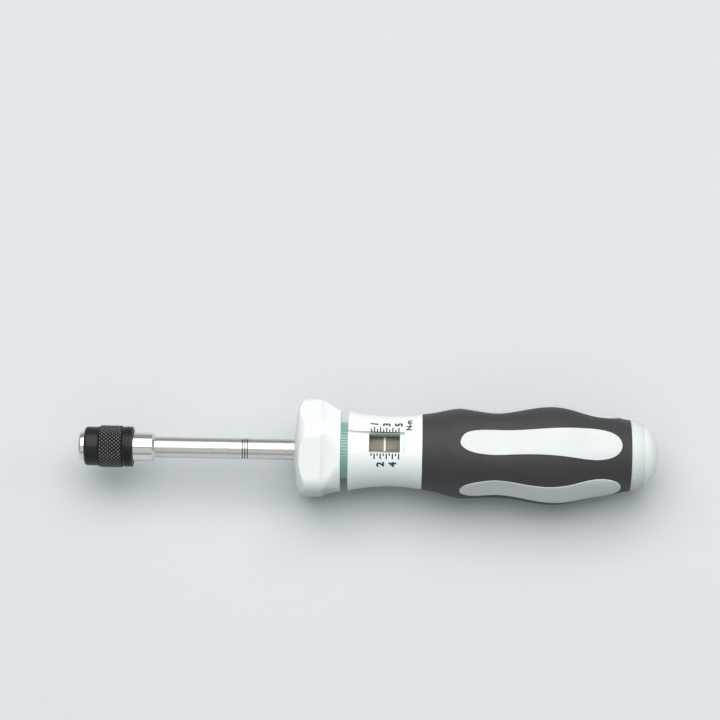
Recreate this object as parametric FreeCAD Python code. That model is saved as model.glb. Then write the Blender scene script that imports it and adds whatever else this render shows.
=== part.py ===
import FreeCAD, Part

import math
import os

# Adjustable torque screwdriver. X runs along the tool, from the mouth of the bit socket to the end of the
# handle. Z is up, and the tool lies on one flat of its setting collar and on the belly of its grip. Sizes are
# in mm and degrees. An angle round the tool is counted from straight up (+Z) towards -Y.

# ---- fits ----
running = 0.05            # on the radius, for what turns or slides in a bore
passing = 0.3             # on the radius, for what passes without touching
facing = 0.05             # between flat faces that turn or slide past each other

# ---- bit holder and its lock ----
bit_size = 6.35           # hexagon of the bit, across its flats
bit_clearance = 0.1
socket_depth = 15.0
magnet_radius = 2.75
magnet_length = 2.6
holder_web = 1.0          # between the magnet and the shaft
holder_radius = 4.85
holder_length = 25.8
holder_nose_round = 1.0
holder_chamfer = 0.8
shaft_radius = 3.55
ball_radius = 1.25
ball_station = 5.8        # from the mouth of the socket
ball_reach = 0.84         # how far the locked ball stands into the socket
ball_lift = 0.7
ring_wire = 0.7           # snap rings
ring_sink = 0.5
ring_split = 2.0
stop_ring_radius = 5.4
stop_ring_station = 2.2
spring_ring_radius = 5.75
spring_ring_station = 14.6

# ---- lock sleeve ----
lock_start = 2.0
lock_travel = 3.0
lock_front_radius = 6.6
lock_front_length = 5.0
knurl_radius = 7.15
knurl_length = 7.9
lock_rear_radius = 6.85
lock_rear_length = 3.5
lock_chamfer = 0.8
lock_land_end = 8.0       # rear face of the inner land that keeps the ball in
sleeve_wire = (0.7, 0.8)  # radial and axial thickness of the spring's flat wire
sleeve_turns = 4.5
end_ring_length = 1.6
end_ring_inset = 0.2

# ---- shaft ----
shaft_bare = 47.2         # between the holder and the collar's cap
mark_rings = 3            # engraved rings round the shaft
mark_start = 29.7         # behind the holder
mark_pitch = 0.85
mark_width = 0.3
mark_depth = 0.12
shaft_end_chamfer = 0.5

# ---- setting collar ----
sides = 5
cap_radius = 8.6
cap_rise = 1.05
cap_depth = 1.2
collar_face_radius = 12.3
collar_length = 14.9
collar_round_length = 3.3     # of the domed front edge
collar_flat = 15.2            # from the axis to a flat
collar_corner = 17.4          # from the axis to a corner
collar_straight = 8.2         # length over which the flats keep their height
# behind the flats: how far along, then flat and corner again
collar_tail = ((1.4, 14.45, 16.8), (4.1, 13.85, 15.25), (6.7, 13.75, 14.0))
drive_hex_wall = 1.3          # of the drive tube, under a flat of its hexagon
drive_hex_clearance = 0.1
unlock_travel = 2.4

# ---- lock ring ----
teeth = 60
nose_wall = 0.7               # of the barrel's nose, round its chamber
ring_wall = 0.6
tooth_height = 0.4
tooth_root_width = 0.55
tooth_tip_width = 0.35
tooth_flank_gap = 0.08
tooth_radial_gap = 0.12
ring_overhang = 1.75          # how far the ring reaches into the unlocked collar
tooth_gap = 0.2               # along the axis, between the unlocked teeth
nose_setback = 0.2

# ---- barrel ----
barrel_radius = 10.2
barrel_wall = 1.2
barrel_length = 89.6
wall_length = 3.4             # the front wall that the drive tube turns in
shoulder_inset = 0.8          # the barrel's shoulder, behind the scale sleeve's front face
shoulder_length = 1.2

# ---- drive tube ----
tube_front_gap = 0.35         # to the cap, with the collar pushed back
journal_step = 0.3            # of the journal over the thread
flange_step = 1.1             # of the flange over the journal
flange_length = 1.0
tube_washer_length = 0.5
thread_share = 5 / 12         # of the room between the tube's bore and the barrel's; the spring has the rest
tube_length = 40.6
bush_wall = 0.6
bush_length = 7.0
bush_rear_inset = 1.6
stop_washer_inset = 0.8       # of the collar's stop ring from the tube's front end
stop_washer_radius = 7.1
stop_washer_length = 0.8
stop_washer_sink = 0.6
o_ring_radius = 0.35
o_ring_station = 5.2          # from the tube's front end
o_ring_sink = 0.38            # of its middle under the flats of the hexagon

# ---- torque nut, at the reading it is stored with ----
thread_lead = 1.5
turns_down = 14.0 / 6         # turns from the stored reading to the lowest and to the highest
turns_up = 18.8 / 6
nut_front_gap = 0.2
nut_inset = 0.8               # of its slim part inside the barrel's bore
nut_body_length = 15.4
nut_flange_length = 3.9
indicator_station = 6.7       # from the nut's front end
indicator_width = 0.65
indicator_sink = 0.5
nut_pin_radius = 1.5
pin_short = 0.2               # how far the key pins stay inside the barrel's outside
washer_length = 1.0

# ---- torque spring and clutch ----
spring_wire_fill = 0.68       # radial thickness of the wire, as a share of the spring's room
spring_wire_length = 2.2      # its axial thickness
spring_offset = 0.05          # of the coil's middle outside the middle of its room
spring_turns = 8.0
plate_length = 6.4
plate_pin_radius = 1.25
plate_pin_station = 2.6
clutch_balls = 6
clutch_pockets = 12
clutch_ball_radius = 2.0
clutch_ball_inset = 0.4       # of the balls inside the barrel's bore
clutch_ball_sink = 2.4        # of a ball in the pressure plate
clutch_lift = 0.8
pocket_clearance = 0.05
cam_length = 4.8
cam_hub_radius = 5.5
cam_hub_length = 4.0
cam_pin_radius = 1.25
cam_pin_inset = 1.2           # of the pin from the hub's end
race_length = 1.0
thrust_washer_length = 1.25
shaft_tail = 5.0              # of the shaft behind the cam's hub
plug_length = 12.7
spanner_hole_radius = 1.25
spanner_hole_depth = 3.0
spanner_hole_pitch = 6.2

# ---- scale sleeve and window ----
lock_gap_slack = 0.15         # between the locked collar and the scale sleeve
scale_length = 25.0
scale_front_wall = 3.45       # of the sleeve round the barrel
scale_waist_wall = 1.72
scale_waist_station = 13.0
scale_rear_wall = 2.58
scale_chamfer = 0.35
window_roll = 10.5            # of the window and of the first pad
lens_length = 19.0
lens_width = 7.4
lens_thickness = 1.0
slot_start = 7.1              # from the scale sleeve's front face
slot_length = 10.4
slot_width = 6.6
barrel_slot_width = 5.3

# ---- grip ----
grip_seam = 0.1
grip_overhang = 10.0          # of the grip behind the barrel
rubber_wall = 1.6
pad_proud = 0.3
# how far behind the grip's front, then the height above the barrel over the pads and between them; the places
# along are stretched to the grip's length
grip_sections = (
    (0.0, 2.55, 2.6), (3.2, 3.0, 3.1), (8.0, 4.0, 4.3), (12.5, 4.7, 5.25), (17.5, 4.35, 5.25),
    (25.5, 3.5, 4.9), (31.5, 4.3, 5.4), (37.5, 5.55, 6.4), (44.0, 6.2, 7.0), (49.5, 5.55, 6.5),
    (55.0, 4.2, 5.0), (61.0, 3.3, 3.7), (66.0, 2.7, 2.85), (70.4, 1.9, 1.95),
)
# outline of half a pad: how far behind the grip's front, stretched in the same way, then half its width
pad_outline = ((12.7, 0.0), (14.1, 2.5), (18.0, 3.9), (30.0, 4.2), (53.5, 5.3), (62.0, 4.8), (66.0, 2.6), (67.0, 0.0))
tail_wall = 1.7               # of the tail's widest round over the barrel's radius
tail_length = 4.6
dome_length = 9.8
tip_flat = 0.6
parting_groove = 0.15
cap_skirt_inset = 3.9         # of the skirt inside the tail's widest round
cap_skirt_wall = 1.4
cap_skirt_length = 6.0
cap_bead = 0.3

# ---- radii between the shaft and the barrel, and round the barrel ----
barrel_bore = barrel_radius - barrel_wall
bush_bore = shaft_radius + running
tube_bore = bush_bore + bush_wall
thread_radius = tube_bore + (barrel_bore - tube_bore) * thread_share
spring_room = barrel_bore - thread_radius
journal_radius = thread_radius + journal_step
flange_radius = journal_radius + flange_step
chamber_radius = flange_radius + passing
nut_radius = barrel_bore - nut_inset
ring_bore = chamber_radius + nose_wall
tooth_root = ring_bore + ring_wall
tooth_tip = tooth_root + tooth_height
clutch_pitch_radius = barrel_bore - clutch_ball_inset - clutch_ball_radius
scale_front_radius = barrel_radius + scale_front_wall
scale_waist_radius = barrel_radius + scale_waist_wall
scale_rear_radius = barrel_radius + scale_rear_wall
tail_radius = barrel_radius + tail_wall
cap_skirt_radius = tail_radius - cap_skirt_inset
bore_fit = barrel_bore - running
nut_bore = thread_radius + running

drive_hex = 2 * (tube_bore + drive_hex_wall)
o_ring_stretch = drive_hex / 2 - o_ring_sink

# ---- stations from the bit socket to the torque spring ----
cap_front = holder_length + shaft_bare
collar_front = cap_front + cap_rise
collar_rear = collar_front + collar_length
scale_front = collar_rear + unlock_travel + lock_gap_slack
scale_rear = scale_front + scale_length
ring_front = collar_rear - ring_overhang
nose_front = ring_front + nose_setback
shoulder = scale_front + shoulder_inset
chamber_front = nose_front + wall_length
bore_front = shoulder + shoulder_length
barrel_rear = nose_front + barrel_length
tube_front = collar_front + cap_depth + unlock_travel + tube_front_gap
journal_front = nose_front - nose_setback
flange_front = chamber_front + tube_washer_length + facing
thread_front = flange_front + flange_length
tube_rear = tube_front + tube_length
stop_washer_front = tube_front + stop_washer_inset
nut_front = bore_front + nut_front_gap + turns_down * thread_lead
flange_start = nut_front + nut_body_length
nut_rear = flange_start + nut_flange_length
spring_front = nut_rear + washer_length
nut_pin_station = nut_rear - nut_flange_length / 2

# ---- stations from the barrel's end back to the torque spring, which fills the room left ----
plug_front = barrel_rear - plug_length
race_front = plug_front - thrust_washer_length - race_length
cam_rear = race_front - facing
cam_front = cam_rear - cam_length
hub_rear = cam_rear + cam_hub_length
shaft_rear = hub_rear + shaft_tail
clutch_centre = cam_front + clutch_lift - clutch_ball_radius
plate_rear = clutch_centre + clutch_ball_sink - clutch_ball_radius
plate_front = plate_rear - plate_length
spring_length = plate_front - spring_front
plate_pin_x = plate_front + plate_pin_station
cam_pin_x = hub_rear - cam_pin_inset

# ---- stations of the grip ----
grip_front = scale_rear + grip_seam
grip_rear = barrel_rear + grip_overhang
grip_stretch = (grip_rear - grip_front) / grip_sections[-1][0]
dome_start = grip_rear + tail_length

# ---- sizes of the lock sleeve and the bit holder that follow ----
socket_flat = (bit_size + bit_clearance) / 2
ball_centre = socket_flat - ball_reach + ball_radius
lock_bore = holder_radius + running
lock_end = lock_start + lock_front_length + knurl_length + lock_rear_length
lock_chamber = spring_ring_radius + passing
pitch = 360.0 / sides


# ---- plain solids about the tool's axis ----
def turned(points):
    """A solid of revolution about the X axis from a closed outline of (x, radius) points."""
    outline = Part.makePolygon([FreeCAD.Vector(x, r, 0) for x, r in points] + [FreeCAD.Vector(*points[0], 0)])
    return Part.Face(outline).revolve(FreeCAD.Vector(), FreeCAD.Vector(1, 0, 0), 360)


def rod(start, end, radius):
    return Part.makeCylinder(radius, end - start, FreeCAD.Vector(start, 0, 0), FreeCAD.Vector(1, 0, 0))


def tube(start, end, radius, bore):
    return rod(start, end, radius).cut(rod(start - 1, end + 1, bore))


def rolled(shape, angle):
    """The shape turned round the tool by an angle counted from +Z towards -Y."""
    copy = shape.copy()
    copy.rotate(FreeCAD.Vector(), FreeCAD.Vector(1, 0, 0), angle)
    return copy


def round_the_tool(shape, count, first=0.0):
    return [rolled(shape, first + 360.0 * k / count) for k in range(count)]


def at_angle(x, radius, angle):
    t = math.radians(angle)
    return FreeCAD.Vector(x, -radius * math.sin(t), radius * math.cos(t))


def radial_pin(x, radius, inner, outer, angle):
    """A round pin that stands out from the axis at an angle, from an inner to an outer distance."""
    pin = Part.makeCylinder(radius, outer - inner, FreeCAD.Vector(x, 0, inner), FreeCAD.Vector(0, 0, 1))
    return rolled(pin, angle)


def slot(start, end, width, inner, outer, angle):
    """A square-ended block along the tool, used to cut slots through a wall."""
    block = Part.makeBox(end - start, width, outer - inner, FreeCAD.Vector(start, -width / 2, inner))
    return rolled(block, angle)


def round_slot(start, end, width, inner, outer, angle):
    """The same with round ends."""
    half = width / 2
    ends = [Part.makeCylinder(half, outer - inner, FreeCAD.Vector(x, 0, inner)) for x in (start + half, end - half)]
    middle = Part.makeBox(end - start - width, width, outer - inner, FreeCAD.Vector(start + half, -half, inner))
    return rolled(middle.fuse(ends).removeSplitter(), angle)


def hexagon(start, end, across_flats):
    """A hexagonal bar along the tool with one flat facing straight up."""
    corner = across_flats / 2 / math.cos(math.radians(30))
    points = [at_angle(start, corner, 30 + 60 * k) for k in range(7)]
    return Part.Face(Part.makePolygon(points)).extrude(FreeCAD.Vector(end - start, 0, 0))


def snap_ring(start, length, radius, bore, split):
    """A ring with a gap, open at the bottom."""
    return tube(start, start + length, radius, bore).cut(slot(start - 1, start + length + 1, split, 0, radius + 1, 180))


def coil_spring(start, length, mean_radius, wire, turns):
    """A compression spring of flat wire with ends ground square."""
    radial, axial = wire
    lead = (length + axial) / turns
    path = Part.Wire(Part.makeHelix(lead, length + axial, mean_radius).Edges)
    corners = [(-radial, -axial), (radial, -axial), (radial, axial), (-radial, axial), (-radial, -axial)]
    section = Part.makePolygon([FreeCAD.Vector(mean_radius + a / 2, 0, b / 2) for a, b in corners])
    coil = path.makePipeShell([section], True, True)
    coil.rotate(FreeCAD.Vector(), FreeCAD.Vector(0, 1, 0), 90)
    coil.translate(FreeCAD.Vector(start - axial / 2, 0, 0))
    return coil.common(rod(start, start + length, mean_radius + radial * 2))


# ---- five-sided sections, shared by the collar and the grip ----
def five_sided(x, flat, corner, first_corner):
    """A pentagon with rounded corners: the corner radius follows from the distances to a flat and to a corner."""
    stretch = 1 / math.cos(math.radians(pitch / 2))
    corner_round = (flat * stretch - corner) / (stretch - 1)
    edges = []
    last = None
    for k in range(sides):
        middle = first_corner + pitch * k
        centre = at_angle(x, corner - corner_round, middle)
        start, top, end = [centre + at_angle(0, corner_round, middle + pitch / 2 * s) for s in (-1, 0, 1)]
        if last:
            edges.append(Part.makeLine(last, start))
        edges.append(Part.Arc(start, top, end).toShape())
        last = end
    edges.append(Part.makeLine(last, edges[0].Vertexes[0].Point))
    return Part.Wire(edges)


def grip_body(inset):
    """The grip's outer form, moved in by a wall or out by a negative one."""
    core = barrel_radius - inset
    wires = []
    for u, flat, corner in grip_sections:
        wires.append(five_sided(grip_front + u * grip_stretch, core + flat, core + corner, window_roll + pitch / 2))
    return Part.makeLoft(wires, True, False)


def pad_blocks():
    """Blocks with the outline of a pad, standing out from the axis at each of the five pads."""
    half = [FreeCAD.Vector(grip_front + u * grip_stretch, w, 0) for u, w in pad_outline]
    other = [FreeCAD.Vector(p.x, -p.y, 0) for p in half[-2:0:-1]]
    curve = Part.BSplineCurve()
    curve.interpolate(Points=half + other, PeriodicFlag=True)
    face = Part.Face(Part.Wire(curve.toShape()))
    face.translate(FreeCAD.Vector(0, 0, barrel_bore))
    block = face.extrude(FreeCAD.Vector(0, 0, barrel_radius))
    return round_the_tool(block, sides, window_roll)


# ---- front end ----
def bit_holder():
    body = rod(0, holder_length, holder_radius)
    front = [e for e in body.Edges if e.BoundBox.XMax < 1e-6]
    body = body.makeFillet(holder_nose_round, front)
    rear = [e for e in body.Edges if e.BoundBox.XMin > holder_length - 1e-6]
    body = body.makeChamfer(holder_chamfer, rear)
    magnet_end = socket_depth + magnet_length
    cuts = [
        hexagon(-1, socket_depth, 2 * socket_flat),
        rod(0, magnet_end, magnet_radius),
        rod(magnet_end + holder_web, holder_length + 1, shaft_radius),
        ball_hole(),
    ]
    for start in (stop_ring_station, spring_ring_station):
        cuts.append(tube(start, start + ring_wire, holder_radius + 1, holder_radius - ring_sink))
    return body.cut(cuts)


def ball_hole():
    """A round hole that narrows at the socket's wall, so that the ball can't fall in."""
    lip = ball_centre - ball_radius * 0.35
    upright = FreeCAD.Vector(0, 0, 1)
    wide = ball_radius + running
    hole = Part.makeCylinder(wide, holder_radius, FreeCAD.Vector(ball_station, 0, lip), upright)
    foot = FreeCAD.Vector(ball_station, 0, socket_flat - 0.5)
    taper = Part.makeCone(wide - 0.12, wide, lip - socket_flat + 0.5, foot, upright)
    return hole.fuse(taper)


def lock_ball():
    return Part.makeSphere(ball_radius, FreeCAD.Vector(ball_station, 0, ball_centre))


def bit_magnet():
    return rod(socket_depth, socket_depth + magnet_length, magnet_radius)


def holder_ring(start, radius):
    return snap_ring(start, ring_wire, radius, holder_radius - ring_sink, ring_split)


def lock_sleeve():
    """Outside: front land, knurled band, rear land. Inside: recess for the stop ring, a ramp for the ball, the
    land that holds the ball in, and the spring's chamber."""
    recess = stop_ring_radius + passing
    recess_end = stop_ring_station + ring_wire + facing
    ramp_end = ball_station + 0.15
    ramp_start = lock_bore + ball_lift / lock_travel * (ramp_end - recess_end)
    knurl_start = lock_start + lock_front_length
    knurl_end = knurl_start + knurl_length
    return turned([
        (lock_start, recess), (lock_start, lock_front_radius - lock_chamfer),
        (lock_start + lock_chamfer, lock_front_radius), (knurl_start, lock_front_radius),
        (knurl_start + 0.3, knurl_radius), (knurl_end - 0.3, knurl_radius), (knurl_end, lock_rear_radius),
        (lock_end - 0.3, lock_rear_radius), (lock_end, lock_rear_radius - 0.3), (lock_end, lock_chamber),
        (lock_land_end, lock_chamber), (lock_land_end, lock_bore), (ramp_end, lock_bore),
        (recess_end, ramp_start), (recess_end, recess),
    ])


def sleeve_end_ring():
    end = lock_end - end_ring_inset
    return tube(end - end_ring_length, end, lock_chamber, lock_bore)


def sleeve_spring():
    start = lock_land_end
    mean = (holder_radius + lock_chamber) / 2
    return coil_spring(start, spring_ring_station - start, mean, sleeve_wire, sleeve_turns)


def shaft():
    start = socket_depth + magnet_length + holder_web
    body = rod(start, shaft_rear, shaft_radius)
    end = [e for e in body.Edges if e.BoundBox.XMin > shaft_rear - 1e-6]
    body = body.makeChamfer(shaft_end_chamfer, end)
    for k in range(mark_rings):
        x = holder_length + mark_start + k * mark_pitch
        body = body.cut(tube(x, x + mark_width, shaft_radius + 1, shaft_radius - mark_depth))
    return body.cut(rod_across(cam_pin_x, cam_pin_radius, cam_hub_radius + 1))


def rod_across(x, radius, reach):
    """A pin that crosses the tool's axis."""
    return Part.makeCylinder(radius, 2 * reach, FreeCAD.Vector(x, 0, -reach), FreeCAD.Vector(0, 0, 1))


# ---- torque setting ----
def collar():
    """Five flats and rounded corners, domed in front and drawn in to a round rim behind."""
    flats_end = collar_front + collar_straight
    front_wire = five_sided(collar_front, collar_flat, collar_corner, 0)
    block = Part.Face(front_wire).extrude(FreeCAD.Vector(collar_straight, 0, 0))
    wires = [five_sided(flats_end, collar_flat, collar_corner, 0)]
    wires += [five_sided(flats_end + u, flat, corner, 0) for u, flat, corner in collar_tail]
    body = block.fuse(Part.makeLoft(wires, True, False)).common(collar_dome())
    hub_front = stop_washer_front + stop_washer_length + facing
    floor = ring_front - tooth_gap - unlock_travel
    cuts = [
        rod(collar_front - 1, collar_front + cap_depth, cap_radius + running),
        rod(collar_front, hub_front, stop_washer_radius + passing),
        hexagon(collar_front, collar_rear, drive_hex + drive_hex_clearance),
        splined_bar(floor, collar_rear, inner_spline()),
        rod(ring_front - tooth_gap, collar_rear + 1, tooth_tip + passing),
    ]
    return body.cut(cuts)


def collar_dome():
    """A turned form that rounds the collar's front edge."""
    over = collar_corner + 1
    start = FreeCAD.Vector(collar_front, collar_face_radius, 0)
    bulge = FreeCAD.Vector(collar_front + collar_round_length * 0.42, collar_corner - 1.75, 0)
    end = FreeCAD.Vector(collar_front + collar_round_length, collar_corner + 0.1, 0)
    corners = [end, FreeCAD.Vector(end.x, over, 0), FreeCAD.Vector(collar_rear, over, 0),
               FreeCAD.Vector(collar_rear, 0, 0), FreeCAD.Vector(collar_front, 0, 0), start]
    edges = [Part.Arc(start, bulge, end).toShape()]
    edges += [Part.makeLine(a, b) for a, b in zip(corners, corners[1:])]
    return Part.Face(Part.Wire(edges)).revolve(FreeCAD.Vector(), FreeCAD.Vector(1, 0, 0), 360)


def collar_cap():
    """A domed disc with a hole for the shaft, snapped into the collar's front."""
    hole = shaft_radius + passing
    swell = (cap_radius ** 2 + cap_rise ** 2) / (2 * cap_rise)
    ball = Part.makeSphere(swell, FreeCAD.Vector(cap_front + swell, 0, 0))
    disc = rod(cap_front, collar_front + cap_depth, cap_radius)
    return disc.common(ball).cut(rod(cap_front - 1, tube_front, hole))


def spline_outline(points_of_tooth):
    """A closed outline round the axis, made of the same few points for every tooth."""
    points = []
    for k in range(teeth):
        middle = 360.0 * k / teeth
        points += [at_angle(0, r, middle + math.degrees(half / r)) for r, half in points_of_tooth]
    return Part.Face(Part.makePolygon(points + points[:1]))


def outer_spline():
    root, tip = tooth_root_width / 2, tooth_tip_width / 2
    return spline_outline([(tooth_root, -root), (tooth_tip, -tip), (tooth_tip, tip), (tooth_root, root)])


def inner_spline():
    """The space that the lock ring's teeth need, with the clearances round them."""
    slope = (tooth_root_width - tooth_tip_width) / 2 / (tooth_tip - tooth_root)
    inner = tooth_root + tooth_radial_gap
    outer = tooth_tip + tooth_radial_gap
    wide = tooth_root_width / 2 + tooth_flank_gap - slope * tooth_radial_gap
    narrow = tooth_tip_width / 2 + tooth_flank_gap
    return spline_outline([(inner, -wide), (outer, -narrow), (outer, narrow), (inner, wide)])


def splined_bar(start, end, face):
    section = face.copy()
    section.translate(FreeCAD.Vector(start, 0, 0))
    return section.extrude(FreeCAD.Vector(end - start, 0, 0))


def drive_tube():
    """Hexagonal where the collar slides, then the journal in the barrel's wall, the flange and the thread."""
    body = hexagon(tube_front, journal_front, drive_hex)
    body = body.fuse([
        rod(journal_front, flange_front, journal_radius),
        rod(flange_front, thread_front, flange_radius),
        rod(thread_front, tube_rear, thread_radius),
    ])
    cuts = [
        rod(tube_front - 1, tube_rear + 1, tube_bore),
        tube(stop_washer_front, stop_washer_front + stop_washer_length, drive_hex, drive_hex / 2 - stop_washer_sink),
        tube(o_ring_x() - o_ring_radius, o_ring_x() + o_ring_radius, drive_hex, o_ring_stretch - o_ring_radius),
    ]
    return body.cut(cuts)


def o_ring_x():
    return tube_front + o_ring_station


def shaft_bushes():
    starts = (tube_front, tube_rear - bush_rear_inset - bush_length)
    return [tube(start, start + bush_length, tube_bore, bush_bore) for start in starts]


def collar_stop_ring():
    return snap_ring(stop_washer_front, stop_washer_length, stop_washer_radius,
                     drive_hex / 2 - stop_washer_sink, ring_split)


def collar_o_ring():
    centre = FreeCAD.Vector(o_ring_x(), 0, 0)
    return Part.makeTorus(o_ring_stretch, o_ring_radius, centre, FreeCAD.Vector(1, 0, 0))


def tube_washer():
    return tube(chamber_front, chamber_front + tube_washer_length, flange_radius, journal_radius + running)


def torque_nut():
    """Slim where the window shows it, with a flange that slides in the barrel and holds the key pin."""
    body = rod(nut_front, flange_start, nut_radius).fuse(rod(flange_start, nut_rear, bore_fit))
    groove_start = nut_front + indicator_station - indicator_width / 2
    cuts = [
        rod(nut_front - 1, nut_rear + 1, nut_bore),
        tube(groove_start, groove_start + indicator_width, nut_radius + 1, nut_radius - indicator_sink),
        radial_pin(nut_pin_station, nut_pin_radius, nut_bore, barrel_radius, window_roll + 180),
    ]
    return body.cut(cuts)


def indicator_ring():
    start = nut_front + indicator_station - indicator_width / 2
    return tube(start, start + indicator_width, nut_radius, nut_radius - indicator_sink)


def nut_key_pin():
    return radial_pin(nut_pin_station, nut_pin_radius, nut_bore + pin_short, barrel_radius - pin_short, window_roll + 180)


def spring_washer():
    return tube(nut_rear, spring_front, bore_fit - passing, thread_radius + passing)


def torque_spring():
    mean = thread_radius + spring_room / 2 + spring_offset
    wire = (spring_room * spring_wire_fill, spring_wire_length)
    return coil_spring(spring_front, spring_length, mean, wire, spring_turns)


# ---- clutch ----
def ball_places(count):
    step = 360.0 / count
    return [at_angle(clutch_centre, clutch_pitch_radius, step * k) for k in range(count)]


def pressure_plate():
    body = tube(plate_front, plate_rear, bore_fit, shaft_radius + passing)
    pocket = clutch_ball_radius + pocket_clearance
    for place in ball_places(clutch_balls):
        body = body.cut(Part.makeCylinder(pocket, clutch_ball_sink, place, FreeCAD.Vector(1, 0, 0)))
        body = body.cut(Part.makeSphere(pocket, place))
    return body.cut([plate_pin(angle, 0.0) for angle in (90, 270)])


def plate_pin(angle, short):
    return radial_pin(plate_pin_x, plate_pin_radius, shaft_radius + 1, barrel_radius - short, window_roll + angle)


def plate_key_pins():
    return [plate_pin(angle, pin_short) for angle in (90, 270)]


def ball_set():
    return [Part.makeSphere(clutch_ball_radius, place) for place in ball_places(clutch_balls)]


def cam_disc():
    body = rod(cam_front, cam_rear, barrel_bore - passing).fuse(rod(cam_rear, hub_rear, cam_hub_radius))
    pocket = clutch_ball_radius + pocket_clearance
    body = body.cut(rod(cam_front - 1, hub_rear + 1, shaft_radius))
    for place in ball_places(clutch_pockets):
        body = body.cut(Part.makeSphere(pocket, place))
    return body.cut(rod_across(cam_pin_x, cam_pin_radius, cam_hub_radius + 1))


def cam_pin():
    return rod_across(cam_pin_x, cam_pin_radius, cam_hub_radius - 0.1)


def thrust_race():
    return tube(race_front, race_front + race_length, barrel_bore - passing, cam_hub_radius + passing)


def thrust_washer():
    return tube(race_front + race_length, plug_front, barrel_bore - passing, cam_hub_radius + passing)


def rear_plug():
    """A threaded plug that takes the spring's load and carries the shaft's end."""
    body = rod(plug_front, barrel_rear, barrel_bore)
    cuts = [
        rod(plug_front - 1, hub_rear + passing, cam_hub_radius + passing),
        rod(plug_front - 1, shaft_rear + 1, shaft_radius + running),
    ]
    for side in (-1, 1):
        mouth = FreeCAD.Vector(barrel_rear - spanner_hole_depth, side * spanner_hole_pitch, 0)
        cuts.append(Part.makeCylinder(spanner_hole_radius, spanner_hole_depth + 1, mouth, FreeCAD.Vector(1, 0, 0)))
    return body.cut(cuts)


# ---- handle ----
def barrel():
    """Steel tube: a nose with the front wall, the window slot, and key slots for the nut and the plate."""
    body = turned([
        (nose_front, journal_radius + running), (nose_front, ring_bore), (shoulder, ring_bore),
        (shoulder, barrel_radius), (barrel_rear, barrel_radius), (barrel_rear, barrel_bore),
        (bore_front, barrel_bore), (bore_front, chamber_radius), (chamber_front, chamber_radius),
        (chamber_front, journal_radius + running),
    ])
    slot_front = scale_front + slot_start
    down = turns_down * thread_lead + nut_pin_radius + passing
    up = turns_up * thread_lead + nut_pin_radius + passing
    nut_slot_width = 2 * (nut_pin_radius + running)
    plate_slot_width = 2 * (plate_pin_radius + running)
    outside = barrel_radius + 1
    cuts = [
        slot(slot_front, slot_front + slot_length, barrel_slot_width, chamber_radius, outside, window_roll),
        round_slot(nut_pin_station - down, nut_pin_station + up, nut_slot_width, chamber_radius, outside,
                   window_roll + 180),
    ]
    for angle in (90, 270):
        cuts.append(round_slot(plate_pin_x - clutch_lift - plate_pin_radius - passing,
                               plate_pin_x + plate_pin_radius + passing, plate_slot_width,
                               chamber_radius, outside, window_roll + angle))
    return body.cut(cuts)


def lock_ring():
    """Sixty fine teeth, on a ring seated on the barrel's nose."""
    teeth_bar = splined_bar(ring_front, scale_front, outer_spline())
    seat = rod(scale_front, shoulder, tooth_root)
    return teeth_bar.fuse(seat).cut(rod(ring_front - 1, shoulder + 1, ring_bore))


def scale_form(inset):
    """The scale sleeve's waisted outside, moved in by a wall."""
    front = FreeCAD.Vector(scale_front, scale_front_radius - inset, 0)
    waist = FreeCAD.Vector(scale_front + scale_waist_station, scale_waist_radius - inset, 0)
    rear = FreeCAD.Vector(scale_rear, scale_rear_radius - inset, 0)
    foot = [rear, FreeCAD.Vector(scale_rear, 0, 0), FreeCAD.Vector(scale_front, 0, 0), front]
    edges = [Part.Arc(front, waist, rear).toShape()] + [Part.makeLine(a, b) for a, b in zip(foot, foot[1:])]
    return Part.Face(Part.Wire(edges)).revolve(FreeCAD.Vector(), FreeCAD.Vector(1, 0, 0), 360)


def scale_sleeve():
    lip = tooth_tip + tooth_radial_gap
    body = scale_form(0)
    rim = scale_front_radius - scale_chamfer
    over = scale_front_radius + scale_chamfer
    body = body.cut(turned([
        (scale_front - scale_chamfer, rim - scale_chamfer), (scale_front - scale_chamfer, over),
        (scale_front + 4 * scale_chamfer, over), (scale_front + scale_chamfer, scale_front_radius - 0.02),
        (scale_front, rim),
    ]))
    slot_front = scale_front + slot_start
    cuts = [
        rod(scale_front - 1, shoulder, lip),
        rod(shoulder, scale_rear + 1, barrel_radius),
        lens_form(passing / 6),
        slot(slot_front, slot_front + slot_length, slot_width, chamber_radius, scale_front_radius, window_roll),
    ]
    return body.cut(cuts)


def lens_form(room):
    """The strip that the lens fills: as thick as the lens, following the sleeve's waist."""
    width = lens_width + 2 * room
    strip = slot(scale_front, scale_front + lens_length + room, width, barrel_radius, scale_front_radius + 1, window_roll)
    return strip.common(scale_form(0).cut(scale_form(lens_thickness)))


def window_lens():
    return lens_form(0).cut(rod(scale_front - 1, scale_front + scale_chamfer, scale_front_radius + 1))


def grip_core():
    """White moulding: the body under the rubber, five pads that stand through it, and the end ring."""
    body = grip_body(rubber_wall).fuse(tail_form().common(rod(grip_rear, dome_start, tail_radius + 1)))
    proud = grip_body(-pad_proud)
    for block in pad_blocks():
        body = body.fuse(block.common(proud))
    cuts = [
        rod(grip_front - 1, barrel_rear + 1, barrel_radius),
        rod(barrel_rear, dome_start + 1, cap_skirt_radius + running),
        bead(running),
    ]
    return body.cut(cuts)


def soft_grip():
    """Rubber moulded over the core, open round each pad."""
    return grip_body(0).cut([grip_body(rubber_wall)] + pad_blocks())


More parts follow.
